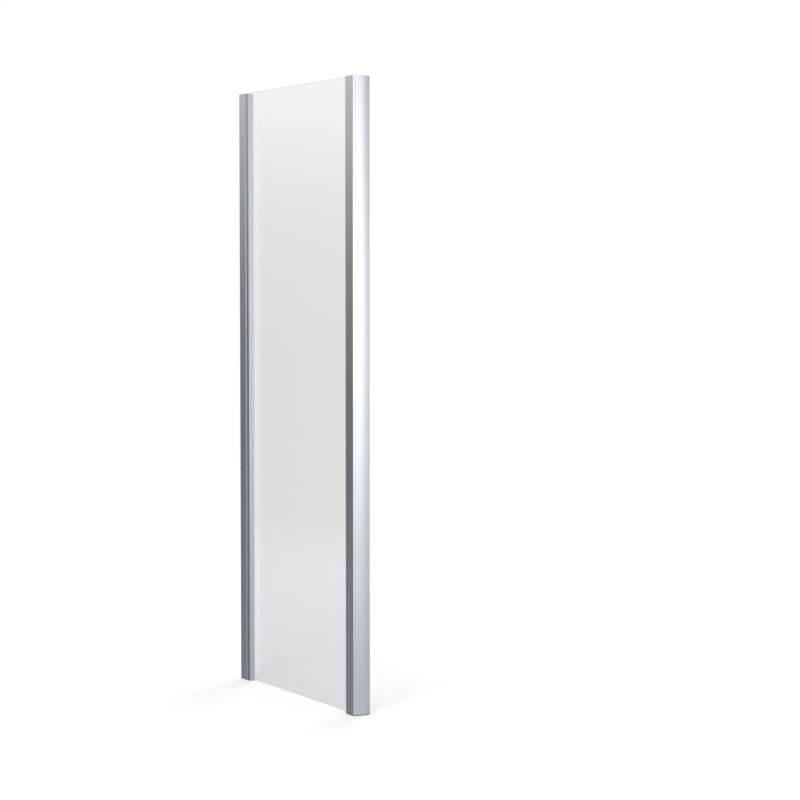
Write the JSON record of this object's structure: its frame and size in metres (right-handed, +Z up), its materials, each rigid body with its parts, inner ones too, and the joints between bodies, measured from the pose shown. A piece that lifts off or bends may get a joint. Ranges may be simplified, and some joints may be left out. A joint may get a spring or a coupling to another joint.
{
  "type": "shower side panel",
  "caption": "Tall clear glass side panel for a shower, held by a width-adjustable wall channel and a hollow metal corner post with a bowed front.",
  "frame": {"origin": "where the wall meets the floor, on the middle plane of the glass", "axes": "+X from the wall towards the corner post, +Y towards the shower side of the glass, +Z up"},
  "size_m": [0.765, 0.059, 1.9],
  "materials": {
    "profile": "polished and bright anodised",
    "glass": "clear toughened glass",
    "end_cap": "silvered moulded plastic",
    "foot": "grey moulded plastic",
    "gasket": "soft pale grey vinyl",
    "block": "firm clear vinyl",
    "screw": "stainless steel",
    "washer": "natural nylon",
    "snap_cover": "chrome-effect plastic"
  },
  "bodies": {
    "wall_side": {"wall_channel": "profile", "channel_lid": "end_cap"},
    "panel": {"glazing_jamb": "profile", "jamb_lid": "end_cap", "glass_pane": "glass", "jamb_gasket_outer": "gasket", "jamb_gasket_inner": "gasket", "post_gasket_outer": "gasket", "post_gasket_inner": "gasket", "setting_block_wall": "block", "setting_block_post": "block", "edge_spacer_wall_low": "block", "edge_spacer_wall_high": "block", "edge_spacer_post_low": "block", "edge_spacer_post_high": "block", "corner_post": "profile", "post_cover": "profile", "post_cap": "end_cap", "post_foot": "foot", "foot_screws": "screw", "adjusting_screws": "screw", "cup_washers": "washer", "screw_cover_low": "snap_cover", "screw_cover_middle": "snap_cover", "screw_cover_high": "snap_cover"}
  },
  "joints": [
    {"name": "width_slide", "type": "slide", "parent": "wall_side", "child": "panel", "axis": [1, 0, 0], "range_m": [0, 0.02]}
  ]
}
